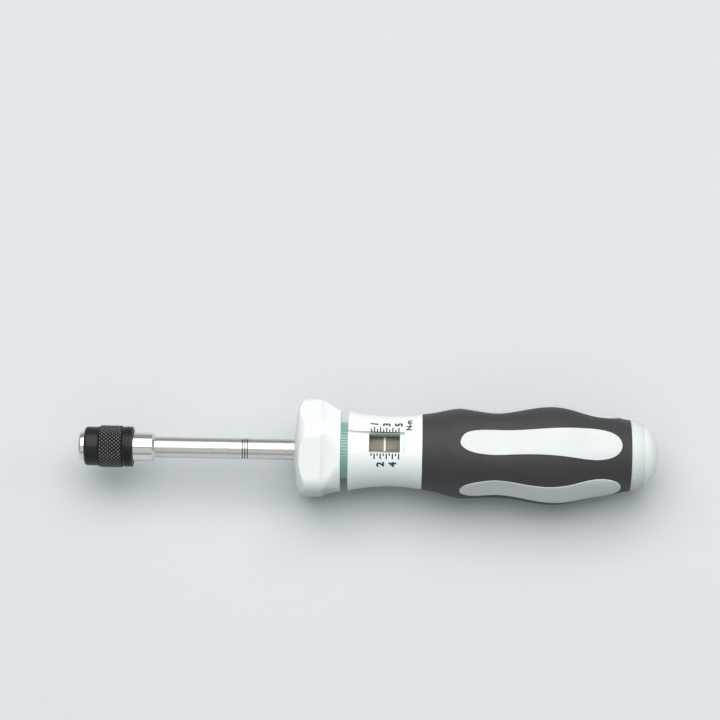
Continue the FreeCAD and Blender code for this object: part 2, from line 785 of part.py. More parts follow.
def tail_form():
    """Half an ellipsoid, shared by the end ring and the cap, with a small flat at its tip."""
    widest = FreeCAD.Vector(grip_rear, tail_radius, 0)
    centre = FreeCAD.Vector(grip_rear, 0, 0)
    curve = Part.Ellipse(widest, FreeCAD.Vector(grip_rear + dome_length, 0, 0), centre)
    arc = Part.ArcOfEllipse(curve, 0, math.acos(tip_flat / tail_radius)).toShape()
    tip = arc.valueAt(arc.LastParameter)
    foot = [tip, FreeCAD.Vector(tip.x, 0, 0), centre, widest]
    edges = [arc] + [Part.makeLine(a, b) for a, b in zip(foot, foot[1:])]
    return Part.Face(Part.Wire(edges)).revolve(FreeCAD.Vector(), FreeCAD.Vector(1, 0, 0), 360)


def bead(room):
    """The snap bead round the cap's skirt, or with room the groove for it."""
    x = dome_start - cap_skirt_length / 2
    top = cap_skirt_radius + cap_bead + room
    return turned([(x - cap_bead - room, cap_skirt_radius - 0.5), (x - cap_bead - room, cap_skirt_radius),
                   (x, top), (x + cap_bead + room, cap_skirt_radius), (x + cap_bead + room, cap_skirt_radius - 0.5)])


def end_cap():
    apex = grip_rear + dome_length
    crown = tail_form().common(rod(dome_start, apex, tail_radius))
    skirt = rod(dome_start - cap_skirt_length, dome_start + 1, cap_skirt_radius).fuse(bead(0))
    hollow = rod(dome_start - cap_skirt_length - 1, dome_start, cap_skirt_radius - cap_skirt_wall)
    rim = tail_radius * math.sqrt(1 - ((dome_start - grip_rear) / dome_length) ** 2)
    groove = tube(dome_start, dome_start + parting_groove, rim + 1, rim - parting_groove)
    return crown.fuse(skirt).cut([hollow, groove])


# ---- one file for each piece ----
pieces = {
    "bit_holder": bit_holder(),
    "bit_magnet": bit_magnet(),
    "lock_ball": lock_ball(),
    "sleeve_stop_ring": holder_ring(stop_ring_station, stop_ring_radius),
    "spring_stop_ring": holder_ring(spring_ring_station, spring_ring_radius),
    "sleeve_spring": sleeve_spring(),
    "lock_sleeve": lock_sleeve(),
    "sleeve_end_ring": sleeve_end_ring(),
    "shaft": shaft(),
    "collar": collar(),
    "collar_cap": collar_cap(),
    "collar_stop_ring": collar_stop_ring(),
    "collar_o_ring": collar_o_ring(),
    "drive_tube": drive_tube(),
    "shaft_bushes": Part.Compound(shaft_bushes()),
    "tube_washer": tube_washer(),
    "lock_ring": lock_ring(),
    "torque_nut": torque_nut(),
    "indicator_ring": indicator_ring(),
    "nut_key_pin": nut_key_pin(),
    "spring_washer": spring_washer(),
    "torque_spring": torque_spring(),
    "pressure_plate": pressure_plate(),
    "plate_key_pins": Part.Compound(plate_key_pins()),
    "clutch_balls": Part.Compound(ball_set()),
    "cam_disc": cam_disc(),
    "cam_pin": cam_pin(),
    "thrust_race": thrust_race(),
    "thrust_washer": thrust_washer(),
    "rear_plug": rear_plug(),
    "barrel": barrel(),
    "scale_sleeve": scale_sleeve(),
    "window_lens": window_lens(),
    "grip_core": grip_core(),
    "soft_grip": soft_grip(),
    "end_cap": end_cap(),
}

os.makedirs("parts", exist_ok=True)
for name, shape in pieces.items():
    shape.exportStep("parts/" + name + ".step")
    print(name, len(shape.Solids), "solid", round(shape.Volume, 2), "mm3", "valid" if shape.isValid() else "NOT VALID")
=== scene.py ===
import math

import bmesh
import bpy
import numpy as np
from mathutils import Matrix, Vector


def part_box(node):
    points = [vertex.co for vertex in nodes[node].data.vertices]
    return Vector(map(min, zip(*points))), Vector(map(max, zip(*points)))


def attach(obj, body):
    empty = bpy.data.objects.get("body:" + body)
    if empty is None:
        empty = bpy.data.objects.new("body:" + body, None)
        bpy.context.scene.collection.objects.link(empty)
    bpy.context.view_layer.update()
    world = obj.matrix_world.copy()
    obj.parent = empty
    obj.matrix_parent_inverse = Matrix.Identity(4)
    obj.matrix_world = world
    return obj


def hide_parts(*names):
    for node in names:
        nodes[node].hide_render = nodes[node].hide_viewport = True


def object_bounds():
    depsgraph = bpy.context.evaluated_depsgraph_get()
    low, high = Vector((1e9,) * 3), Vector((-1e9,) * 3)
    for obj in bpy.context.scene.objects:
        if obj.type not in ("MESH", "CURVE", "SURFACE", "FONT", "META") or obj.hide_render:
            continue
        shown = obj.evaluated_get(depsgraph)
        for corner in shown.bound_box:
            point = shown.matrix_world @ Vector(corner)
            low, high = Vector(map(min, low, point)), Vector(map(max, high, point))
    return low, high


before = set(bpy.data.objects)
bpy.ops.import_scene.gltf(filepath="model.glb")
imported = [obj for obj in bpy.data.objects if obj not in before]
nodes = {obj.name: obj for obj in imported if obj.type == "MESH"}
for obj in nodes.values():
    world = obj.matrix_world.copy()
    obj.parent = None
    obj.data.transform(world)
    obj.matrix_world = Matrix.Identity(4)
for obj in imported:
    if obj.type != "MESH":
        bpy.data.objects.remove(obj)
cadBox = [list(corner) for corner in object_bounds()]
print("frame loaded with", len(nodes), "CAD pieces")

# Lengths are in metres. X runs along the tool, from the mouth of the bit socket to the end of the handle, and Z
# is up. Angles round the tool are counted from straight up towards -Y.


def srgb(red, green, blue):
    # display values of 0 to 255 turned into linear light: ((c + 0.055) / 1.055) to the power 2.4, and c / 12.92
    # for the darkest values
    c = np.array([red, green, blue]) / 255
    linear = np.where(c > 0.04045, ((c + 0.055) / 1.055) ** 2.4, c / 12.92)
    return (*[float(v) for v in linear], 1.0)


# Effects that several materials share. Each is a node group that gives only masks and heights.

def newGroup(name, inputs, outputs):
    # an empty group with number sockets: inputs with their first values, outputs by name
    group = bpy.data.node_groups.new(name, "ShaderNodeTree")
    for label, value in inputs.items():
        socket = group.interface.new_socket(label, in_out="INPUT", socket_type="NodeSocketFloat")
        socket.default_value = value
    for label in outputs:
        group.interface.new_socket(label, in_out="OUTPUT", socket_type="NodeSocketFloat")
    return group, group.nodes.new("NodeGroupInput"), group.nodes.new("NodeGroupOutput")


def setOrLink(tree, socket, value):
    # a number or a colour is set on the socket, another node's output is linked to it
    if hasattr(value, "links"):
        tree.links.new(value, socket)
    else:
        socket.default_value = value


def objectPoint(tree):
    # the shaded point in the object's own metres
    return tree.nodes.new("ShaderNodeTexCoord").outputs["Object"]


def splitPoint(tree):
    # the shaded point's coordinates as sockets named X, Y and Z
    split = tree.nodes.new("ShaderNodeSeparateXYZ")
    tree.links.new(objectPoint(tree), split.inputs[0])
    return split.outputs


def mathNode(tree, operation, *values):
    # one operation on up to three numbers or sockets
    node = tree.nodes.new("ShaderNodeMath")
    node.operation = operation
    for socket, value in zip(node.inputs, values):
        setOrLink(tree, socket, value)
    return node.outputs[0]


def clipped(tree, value):
    # the value held between 0 and 1
    return mathNode(tree, "MAXIMUM", mathNode(tree, "MINIMUM", value, 1.0), 0.0)


def noiseNode(tree, vector, scale, detail, roughness):
    # fractal noise with its mean near 0.5
    node = tree.nodes.new("ShaderNodeTexNoise")
    tree.links.new(vector, node.inputs["Vector"])
    setOrLink(tree, node.inputs["Scale"], scale)
    node.inputs["Detail"].default_value = detail
    node.inputs["Roughness"].default_value = roughness
    return node.outputs["Fac"]


def buildMouldGrain():
    # fine skin of a moulding: a fine noise for the height, and a slow one for colour and gloss
    inputs = {"Grain Scale": 9000.0, "Mottle Scale": 60.0}
    group, given, result = newGroup("mouldGrain", inputs, ("Height", "Mottle"))
    point = objectPoint(group)
    fine = noiseNode(group, point, given.outputs["Grain Scale"], 3.0, 0.6)
    slow = noiseNode(group, point, given.outputs["Mottle Scale"], 4.0, 0.6)
    group.links.new(fine, result.inputs["Height"])
    group.links.new(slow, result.inputs["Mottle"])
    return group


def buildLatheRings():
    # rings left by a lathe: noise of (scale * X, 25 * Y, 25 * Z), so that it changes fast along the tool and only
    # slowly round it, and the same noise much wider for gloss
    aroundScale, streakShare = 25.0, 0.13
    group, given, result = newGroup("latheRings", {"Ring Scale": 6000.0}, ("Height", "Streak"))
    split = splitPoint(group)
    join = group.nodes.new("ShaderNodeCombineXYZ")
    group.links.new(mathNode(group, "MULTIPLY", split["X"], given.outputs["Ring Scale"]), join.inputs["X"])
    for axis in ("Y", "Z"):
        group.links.new(mathNode(group, "MULTIPLY", split[axis], aroundScale), join.inputs[axis])
    rings = noiseNode(group, join.outputs[0], 1.0, 3.0, 0.65)
    streak = noiseNode(group, join.outputs[0], streakShare, 2.0, 0.5)
    group.links.new(rings, result.inputs["Height"])
    group.links.new(streak, result.inputs["Streak"])
    return group


def buildHandlingMarks():
    # faint marks: a broken noise less its mean, three times as steep, never below 0, times the amount
    group, given, result = newGroup("handlingMarks", {"Mark Scale": 220.0, "Amount": 0.5}, ("Mask",))
    broken = noiseNode(group, objectPoint(group), given.outputs["Mark Scale"], 6.0, 0.72)
    steep = mathNode(group, "MULTIPLY", mathNode(group, "SUBTRACT", broken, 0.5), 3.0)
    marks = mathNode(group, "MULTIPLY", mathNode(group, "MAXIMUM", steep, 0.0), given.outputs["Amount"])
    group.links.new(marks, result.inputs["Mask"])
    return group


def buildRidgeTops():
    # 0 in the grooves and 1 on the ridges: the distance from the tool's axis, the root of Y * Y + Z * Z, as its
    # share of the way from the groove's radius to the ridge's
    group, given, result = newGroup("ridgeTops", {"Groove Radius": 0.0068, "Ridge Radius": 0.0071}, ("Mask",))
    split = splitPoint(group)
    squareY = mathNode(group, "MULTIPLY", split["Y"], split["Y"])
    radius = mathNode(group, "SQRT", mathNode(group, "MULTIPLY_ADD", split["Z"], split["Z"], squareY))
    lift = mathNode(group, "SUBTRACT", radius, given.outputs["Groove Radius"])
    height = mathNode(group, "SUBTRACT", given.outputs["Ridge Radius"], given.outputs["Groove Radius"])
    group.links.new(clipped(group, mathNode(group, "DIVIDE", lift, height)), result.inputs["Mask"])
    return group


def buildJointLine():
    # a fine joint round the tool: 1 at its station along X, falling evenly to 0 at half its width on either side
    group, given, result = newGroup("jointLine", {"Station": 0.19, "Half Width": 0.0002}, ("Mask",))
    behind = mathNode(group, "SUBTRACT", splitPoint(group)["X"], given.outputs["Station"])
    share = mathNode(group, "DIVIDE", mathNode(group, "ABSOLUTE", behind), given.outputs["Half Width"])
    group.links.new(clipped(group, mathNode(group, "SUBTRACT", 1.0, share)), result.inputs["Mask"])
    return group


mouldGrain = buildMouldGrain()
latheRings = buildLatheRings()
handlingMarks = buildHandlingMarks()
ridgeTops = buildRidgeTops()
jointLine = buildJointLine()
print("shared effects built")


def newMaterial(name):
    # a material with its node tree and its Principled shader
    material = bpy.data.materials.new(name)
    material.use_nodes = True
    tree = material.node_tree
    return material, tree, tree.nodes["Principled BSDF"]


def placeGroup(tree, group, values):
    # one of the shared effects with this material's own values, by socket name
    node = tree.nodes.new("ShaderNodeGroup")
    node.node_tree = group
    for label, value in values.items():
        node.inputs[label].default_value = value
    return node.outputs


def mixColours(tree, factor, first, second):
    # first * (1 - factor) + second * factor; sockets 0, 6 and 7 are the colour mix's factor and its two colours
    node = tree.nodes.new("ShaderNodeMix")
    node.data_type = "RGBA"
    tree.links.new(factor, node.inputs[0])
    setOrLink(tree, node.inputs[6], first)
    setOrLink(tree, node.inputs[7], second)
    return node.outputs[2]


def spread(tree, noise, low, high):
    # the middle of a noise, from 0.3 to 0.7, carried evenly to the range from low to high
    node = tree.nodes.new("ShaderNodeMapRange")
    tree.links.new(noise, node.inputs["Value"])
    node.inputs["From Min"].default_value = 0.3
    node.inputs["From Max"].default_value = 0.7
    node.inputs["To Min"].default_value = low
    node.inputs["To Max"].default_value = high
    return node.outputs["Result"]


def bumpFrom(tree, shader, height, strength, distance):
    # the normal tilted by the height's slope
    bump = tree.nodes.new("ShaderNodeBump")
    bump.inputs["Strength"].default_value = strength
    bump.inputs["Distance"].default_value = distance
    tree.links.new(height, bump.inputs["Height"])
    tree.links.new(bump.outputs["Normal"], shader.inputs["Normal"])


def mouldedMaterial(name, look):
    # plastic or rubber: colour and gloss follow the mottle, the skin is fine bump, and a joint line is darker and
    # lies below the skin by its depth: height - mask * depth
    material, tree, shader = newMaterial(name)
    grain = placeGroup(tree, mouldGrain, {"Grain Scale": look["grainScale"], "Mottle Scale": look["mottleScale"]})
    colour = mixColours(tree, grain["Mottle"], look["colourA"], look["colourB"])
    height = grain["Height"]
    if "joint" in look:
        joint = look["joint"]
        line = placeGroup(tree, jointLine, {"Station": joint["station"], "Half Width": joint["halfWidth"]})
        colour = mixColours(tree, line["Mask"], colour, joint["colour"])
        height = mathNode(tree, "MULTIPLY_ADD", line["Mask"], -joint["depth"], height)
    tree.links.new(colour, shader.inputs["Base Color"])
    tree.links.new(spread(tree, grain["Mottle"], *look["roughness"]), shader.inputs["Roughness"])
    shader.inputs["Specular IOR Level"].default_value = look["specular"]
    shader.inputs["Sheen Weight"].default_value = look.get("sheen", 0.0)
    shader.inputs["Subsurface Weight"].default_value = look.get("subsurface", 0.0)
    shader.inputs["Subsurface Scale"].default_value = 0.002
    bumpFrom(tree, shader, height, *look["bump"])
    return material


def metalMaterial(name, look):
    # turned metal: rings across X as bump and gloss, handling marks as a change of colour, and where the look
    # names a groove's and a ridge's radius, a darker colour at the groove's radius that gives way to the metal's
    # towards the ridge's
    material, tree, shader = newMaterial(name)
    rings = placeGroup(tree, latheRings, {"Ring Scale": look["ringScale"]})
    marks = placeGroup(tree, handlingMarks, {"Mark Scale": look["markScale"], "Amount": look["marks"]})
    colour = mixColours(tree, marks["Mask"], look["colourA"], look["colourB"])
    if "grooves" in look:
        grooves = look["grooves"]
        tops = placeGroup(tree, ridgeTops, {"Groove Radius": grooves["inner"], "Ridge Radius": grooves["outer"]})
        colour = mixColours(tree, tops["Mask"], grooves["colour"], colour)
    tree.links.new(colour, shader.inputs["Base Color"])
    tree.links.new(spread(tree, rings["Streak"], *look["roughness"]), shader.inputs["Roughness"])
    shader.inputs["Metallic"].default_value = look["metallic"]
    bumpFrom(tree, shader, rings["Height"], *look["bump"])
    return material


# colours run from A to B, roughness from its first value to its second, and bump is strength and depth
whitePlastic = {"colourA": srgb(238, 245, 243), "colourB": srgb(242, 248, 246), "grainScale": 9000.0,
                "mottleScale": 90.0, "roughness": (0.34, 0.42), "specular": 0.5, "subsurface": 0.08,
                "bump": (0.12, 0.00006)}
capJoint = {"station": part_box("end_cap")[1].x - 0.0056, "halfWidth": 0.00022, "colour": srgb(196, 206, 205),
            "depth": 3.0}
plasticLooks = {
    "whitePlastic": whitePlastic,
    "capPlastic": {**whitePlastic, "joint": capJoint},
    "padPlastic": {"colourA": srgb(216, 224, 222), "colourB": srgb(222, 229, 227), "grainScale": 7000.0,
                   "mottleScale": 120.0, "roughness": (0.46, 0.56), "specular": 0.35, "subsurface": 0.08,
                   "bump": (0.2, 0.00008)},
    "mintPlastic": {"colourA": srgb(166, 211, 203), "colourB": srgb(180, 219, 212), "grainScale": 9000.0,
                    "mottleScale": 160.0, "roughness": (0.22, 0.3), "specular": 0.6, "subsurface": 0.04,
                    "bump": (0.1, 0.00005)},
    "gripRubber": {"colourA": srgb(44, 45, 47), "colourB": srgb(60, 60, 62), "grainScale": 2600.0,
                   "mottleScale": 900.0, "roughness": (0.5, 0.64), "specular": 0.45, "sheen": 0.05,
                   "bump": (0.6, 0.00016)},
    "ringRubber": {"colourA": srgb(28, 28, 28), "colourB": srgb(36, 36, 36), "grainScale": 6000.0,
                   "mottleScale": 200.0, "roughness": (0.4, 0.5), "specular": 0.5, "bump": (0.1, 0.00005)},
    "printInk": {"colourA": srgb(38, 40, 42), "colourB": srgb(52, 54, 56), "grainScale": 9000.0,
                 "mottleScale": 300.0, "roughness": (0.45, 0.6), "specular": 0.4, "bump": (0.1, 0.00003)},
    "indicatorPaint": {"colourA": srgb(238, 236, 230), "colourB": srgb(246, 245, 240), "grainScale": 9000.0,
                       "mottleScale": 300.0, "roughness": (0.4, 0.5), "specular": 0.4, "bump": (0.1, 0.00003)},
}
metalLooks = {
    # on the knurl the sleeve's black stays in the grooves and on the lands, and the ridge tops are lighter: worn
    # bare steel together with a painted highlight
    "knurledSteel": {"colourA": srgb(132, 131, 129), "colourB": srgb(84, 83, 82), "ringScale": 4000.0,
                     "markScale": 900.0, "marks": 0.6, "roughness": (0.3, 0.42), "metallic": 0.6,
                     "bump": (0.05, 0.00002),
                     "grooves": {"inner": 0.00690, "outer": 0.00715, "colour": srgb(38, 38, 40)}},
    "engravedSteel": {"colourA": srgb(214, 211, 206), "colourB": srgb(182, 179, 174), "ringScale": 5000.0,
                      "markScale": 120.0, "marks": 0.5, "roughness": (0.2, 0.28), "metallic": 1.0,
                      "bump": (0.03, 0.00001),
                      "grooves": {"inner": 0.00345, "outer": 0.00353, "colour": srgb(52, 50, 48)}},
    "chromedSteel": {"colourA": srgb(224, 221, 212), "colourB": srgb(198, 195, 186), "ringScale": 2500.0,
                     "markScale": 180.0, "marks": 0.4, "roughness": (0.1, 0.16), "metallic": 1.0,
                     "bump": (0.01, 0.00001)},
    "blackedSteel": {"colourA": srgb(44, 44, 46), "colourB": srgb(84, 84, 86), "ringScale": 4000.0,
                     "markScale": 260.0, "marks": 0.4, "roughness": (0.28, 0.4), "metallic": 0.6,
                     "bump": (0.08, 0.00004)},
    "turnedSteel": {"colourA": srgb(168, 163, 154), "colourB": srgb(122, 118, 110), "ringScale": 3200.0,
                    "markScale": 240.0, "marks": 0.6, "roughness": (0.3, 0.45), "metallic": 0.75,
                    "bump": (0.35, 0.00008)},
    "nutSteel": {"colourA": srgb(132, 126, 114), "colourB": srgb(106, 101, 92), "ringScale": 3200.0,
                 "markScale": 240.0, "marks": 0.6, "roughness": (0.5, 0.62), "metallic": 0.35,
                 "bump": (0.35, 0.00008)},
    "springSteel": {"colourA": srgb(120, 121, 124), "colourB": srgb(88, 88, 92), "ringScale": 1500.0,
                    "markScale": 240.0, "marks": 0.5, "roughness": (0.25, 0.4), "metallic": 1.0,
                    "bump": (0.05, 0.00004)},
    "bronze": {"colourA": srgb(196, 152, 92), "colourB": srgb(150, 112, 66), "ringScale": 3000.0,
               "markScale": 220.0, "marks": 0.5, "roughness": (0.28, 0.4), "metallic": 1.0,
               "bump": (0.1, 0.00005)},
}
lensLook = {"colourA": srgb(244, 250, 249), "colourB": srgb(250, 253, 252), "grainScale": 2500.0,
            "mottleScale": 400.0, "roughness": (0.02, 0.06), "ior": 1.12, "lampLightPassed": 0.5,
            "bump": (0.03, 0.00002)}


def lensMaterial(name, look):
    # clear plastic: transmission with faint scratches; its alpha is 1 - passed for shadow rays and 1 for all
    # others, so that lamp light reaches what lies behind it
    material, tree, shader = newMaterial(name)
    grain = placeGroup(tree, mouldGrain, {"Grain Scale": look["grainScale"], "Mottle Scale": look["mottleScale"]})
    tint = mixColours(tree, grain["Mottle"], look["colourA"], look["colourB"])
    tree.links.new(tint, shader.inputs["Base Color"])
    tree.links.new(spread(tree, grain["Mottle"], *look["roughness"]), shader.inputs["Roughness"])
    shader.inputs["Metallic"].default_value = 0.0
    shader.inputs["Transmission Weight"].default_value = 1.0
    shader.inputs["IOR"].default_value = look["ior"]
    shadowRay = tree.nodes.new("ShaderNodeLightPath").outputs["Is Shadow Ray"]
    alpha = mathNode(tree, "MULTIPLY_ADD", shadowRay, -look["lampLightPassed"], 1.0)
    tree.links.new(alpha, shader.inputs["Alpha"])
    bumpFrom(tree, shader, grain["Height"], *look["bump"])
    return material


materials = {name: mouldedMaterial(name, look) for name, look in plasticLooks.items()}
materials.update({name: metalMaterial(name, look) for name, look in metalLooks.items()})
materials["clearLens"] = lensMaterial("clearLens", lensLook)

piecesOfFinish = {
    "chromedSteel": ["bit_holder", "bit_magnet", "lock_ball", "clutch_balls", "cam_pin", "nut_key_pin",
                     "plate_key_pins", "thrust_race"],
    "engravedSteel": ["shaft"],
    "blackedSteel": ["lock_sleeve", "sleeve_end_ring"],
    "springSteel": ["sleeve_stop_ring", "spring_stop_ring", "sleeve_spring", "collar_stop_ring", "torque_spring"],
    "nutSteel": ["torque_nut"],
    "turnedSteel": ["drive_tube", "spring_washer", "pressure_plate", "cam_disc", "rear_plug", "barrel"],
    "bronze": ["shaft_bushes", "tube_washer", "thrust_washer"],
    "whitePlastic": ["collar", "collar_cap", "scale_sleeve"],
    "capPlastic": ["end_cap"],
    "padPlastic": ["grip_core"],
    "mintPlastic": ["lock_ring"],
    "gripRubber": ["soft_grip"],
    "ringRubber": ["collar_o_ring"],
    "indicatorPaint": ["indicator_ring"],
    "clearLens": ["window_lens"],
}
for finish, names in piecesOfFinish.items():
    for name in names:
        slots = nodes[name].data.materials
        slots.clear()
        slots.append(materials[finish])
print("materials placed on", sum(len(names) for names in piecesOfFinish.values()), "CAD pieces")


def meshFrom(name, points, faces, finish, body, smooth=True):
    # a piece from an array of points and an array of quads, riding with one of the tool's bodies
    mesh = bpy.data.meshes.new(name)
    mesh.from_pydata(points.reshape(-1, 3).tolist(), [], faces.tolist())
    mesh.materials.append(materials[finish])
    mesh.polygons.foreach_set("use_smooth", np.full(len(mesh.polygons), smooth))
    mesh.validate()
    piece = bpy.data.objects.new(name, mesh)
    bpy.context.scene.collection.objects.link(piece)
    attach(piece, body)
    return piece


def gridFaces(rows, columns, closedRows=False, closedColumns=False, first=0):
    # quads (i, j), (i, j + 1), (i + 1, j + 1), (i + 1, j) of a grid, wrapping round where it is closed
    r = np.arange(rows if closedRows else rows - 1)
    c = np.arange(columns if closedColumns else columns - 1)
    i, j = np.meshgrid(r, c, indexing="ij")
    i2, j2 = (i + 1) % rows, (j + 1) % columns
    quads = np.stack([i * columns + j, i * columns + j2, i2 * columns + j2, i2 * columns + j], axis=-1)
    return quads.reshape(-1, 4) + first


def aroundTool(x, radius, angle):
    # the point (x, -radius * sin(angle), radius * cos(angle))
    return np.stack([x + 0 * angle, -radius * np.sin(angle), radius * np.cos(angle)], axis=-1)


# Lock sleeve with its diamond knurl. Outlines are rows of (place along the tool, radius): the nose is counted
# from the front face, the rear corner from the rear face, and a ring cut from its own start.
lockSleeve = {"nose": [(0, 0.00592), (0.00022, 0.00628), (0.00075, 0.0066)],
              "frontLand": [(0.0045, 0.0066), (0.0066, 0.0066), (0.00685, 0.00668)],
              "rearLand": [(0.01505, 0.00668), (0.0152, 0.00672), (0.0157, 0.00684)],
              "ringCuts": (0.01602, 0.01702),
              "ringCut": [(0, 0.00684), (0.00008, 0.00672), (0.0002, 0.00672), (0.00028, 0.00684)],
              "rearCorner": [(-0.0003, 0.00684), (-0.00009, 0.00675), (0, 0.00654), (0, 0.00605)],
              "bores": [(0.008, 0.00605), (0.008, 0.0049), (0.00595, 0.0049), (0.00295, 0.0056),
                        (0.00295, 0.0057)],
              "mouthRadius": 0.0057}
knurl = {"bandStart": 0.0070, "bandEnd": 0.0149, "bandRadius": 0.00715, "crossing": 0.011, "teethRound": 36,
         "depth": 0.00036, "slant": 0.9, "steepness": 1.35, "runOut": 0.0004, "pointsRound": 540,
         "pointsAlong": 96}


def sleeveOutline():
    # the closed outline, front to back outside and back to front inside, and which of its rows are the band
    low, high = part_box("lock_sleeve")
    nose = np.array(lockSleeve["nose"]) + (low.x, 0)
    band = np.stack([np.linspace(knurl["bandStart"], knurl["bandEnd"], knurl["pointsAlong"]),
                     np.full(knurl["pointsAlong"], knurl["bandRadius"])], axis=1)
    cuts = [np.array(lockSleeve["ringCut"]) + (start, 0) for start in lockSleeve["ringCuts"]]
    corner = np.array(lockSleeve["rearCorner"]) + (high.x, 0)
    mouth = [(low.x, lockSleeve["mouthRadius"])]
    rows = np.concatenate([nose, lockSleeve["frontLand"], band, lockSleeve["rearLand"], *cuts, corner,
                           lockSleeve["bores"], mouth])
    first = len(nose) + len(lockSleeve["frontLand"])
    inBand = np.zeros(len(rows), bool)
    inBand[first:first + len(band)] = True
    return rows, inBand


def slantedRidges(x, angle, turn):
    # a saw of even teeth, 0 between two ridges and 1 on them: its phase is teeth * (angle + turn * x) / 2 pi
    slope = turn * knurl["slant"] / knurl["bandRadius"]
    phase = (angle + (x - knurl["crossing"]) * slope) * knurl["teethRound"] / (2 * np.pi)
    return np.clip(np.abs(phase % 1 - 0.5) * 2 * knurl["steepness"], 0, 1)


def knurledSleeve():
    # radius = outline - depth * (1 - the lower of two crossing sets of ridges), which leaves diamonds, and the
    # band runs out by the same depth at its ends
    rows, inBand = sleeveOutline()
    angle = np.linspace(0, 2 * np.pi, knurl["pointsRound"], endpoint=False)[None, :]
    x = rows[:, :1] + 0 * angle
    ridge = np.minimum(slantedRidges(x, angle, 1), slantedRidges(x, angle, -1))
    start = np.clip((x - knurl["bandStart"]) / knurl["runOut"], 0, 1)
    stop = np.clip((knurl["bandEnd"] - x) / knurl["runOut"], 0, 1)
    cut = knurl["depth"] * (1 - ridge) + knurl["depth"] * (1 - np.minimum(start, stop))
    radius = rows[:, 1:] - np.where(inBand[:, None], cut, 0)
    faces = gridFaces(len(rows), knurl["pointsRound"], closedRows=True, closedColumns=True)
    piece = meshFrom("knurledSleeve", aroundTool(x, radius, angle), faces, "knurledSteel", "lock_sleeve",
                     smooth=False)
    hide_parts("lock_sleeve")


knurledSleeve()
print("knurled sleeve made")

# Scale sleeve: (place, radius) of its front, waist and rear, and the window's turn round the tool in degrees.
sleeveForm = {"front": (0.0915, 0.01365), "waist": (0.1045, 0.01192), "rear": (0.1165, 0.01278), "roll": 10.5}


def sleeveRadius(x):
    # the circle through the front, the waist and the rear: its centre from the two perpendicular bisectors, and
    # the radius round the tool is centre - root(circle radius squared - (x - centre) squared)
    (x1, r1), (x2, r2), (x3, r3) = sleeveForm["front"], sleeveForm["waist"], sleeveForm["rear"]
    sides = np.array([[x2 - x1, r2 - r1], [x3 - x2, r3 - r2]])
    halves = np.array([x2 ** 2 - x1 ** 2 + r2 ** 2 - r1 ** 2, x3 ** 2 - x2 ** 2 + r3 ** 2 - r2 ** 2]) / 2
    middleX, middleR = np.linalg.solve(sides, halves)
    return middleR - np.sqrt((x2 - middleX) ** 2 + (r2 - middleR) ** 2 - (x - middleX) ** 2)


def onSleeve(x, aside, proud):
    # a point on the sleeve: the distance aside of the window's middle becomes the angle aside / waist radius
    turn = math.radians(sleeveForm["roll"]) + aside / sleeveForm["waist"][1]
    return aroundTool(x, sleeveRadius(x) + proud, turn)


# Print of the scale: places along the tool and distances aside of the window's middle. Upper marks have negative
# distances. Every printed shape stands proud of the sleeve and is sunk into it a little.
scalePrint = {"firstMark": 0.10038, "pitch": 0.002054, "marks": 5, "proud": 0.000018, "sunk": 0.00001,
              "lineWidth": 0.00046, "upperLong": -0.0056, "upperShort": -0.0048, "lowerStart": 0.00385,
              "lowerLong": 0.0058, "lowerShort": 0.0047, "baseline": -0.00352, "baselineWidth": 0.0003,
              "baselineParts": 12, "barSteps": 16}
scaleText = {"digitSize": 0.00345, "upperDigits": -0.0070, "lowerDigits": 0.0076, "unitSize": 0.0027,
             "unitPlace": (0.1120, -0.0068), "stroke": 0.042, "weld": 0.002, "longestEdge": 0.12}


def bars(spans):
    # printed bars from rows of (x from, x to, aside from, aside to): four corners of the cross-section carried
    # in even steps from one side to the other, closed by a face at each end
    stations = scalePrint["barSteps"] + 1
    spans = np.array(spans)
    step = np.linspace(0, 1, stations)[None, :, None]
    x = spans[:, [1, 1, 0, 0]][:, None, :] + 0 * step
    aside = spans[:, 2, None, None] + (spans[:, 3] - spans[:, 2])[:, None, None] * step + 0 * x
    proud = np.array([-scalePrint["sunk"], scalePrint["proud"], scalePrint["proud"], -scalePrint["sunk"]])
    last = stations * 4 - 4
    ends = np.array([[3, 2, 1, 0], [last, last + 1, last + 2, last + 3]])
    box = np.concatenate([gridFaces(stations, 4, closedColumns=True), ends])
    faces = box[None] + (np.arange(len(spans)) * stations * 4)[:, None, None]
    return onSleeve(x, aside, proud[None, None, :]).reshape(-1, 3), faces.reshape(-1, 4)


def printMarks():
    # a mark at every half pitch, long and short in turn, above and below the window, and a baseline cut into
    # short bars so that it follows the waist
    form = scalePrint
    half, side = form["lineWidth"] / 2, form["baselineWidth"] / 2
    places = form["firstMark"] + form["pitch"] * np.arange(-0.5, form["marks"] - 0.5, 0.5)
    upper = [form["upperShort"], form["upperLong"]]
    lower = [form["lowerShort"], form["lowerLong"]]
    spans = [(x - half, x + half, upper[k % 2], form["baseline"]) for k, x in enumerate(places)]
    spans += [(x - half, x + half, form["lowerStart"], lower[k % 2]) for k, x in enumerate(places)]
    edges = np.linspace(places[0] - half, places[-1] + half, form["baselineParts"] + 1)
    spans += [(x1, x2, form["baseline"] - side, form["baseline"] + side) for x1, x2 in zip(edges, edges[1:])]
    points, faces = bars(spans)
    meshFrom("scaleMarks", points, faces, "printInk", "handle", smooth=False)


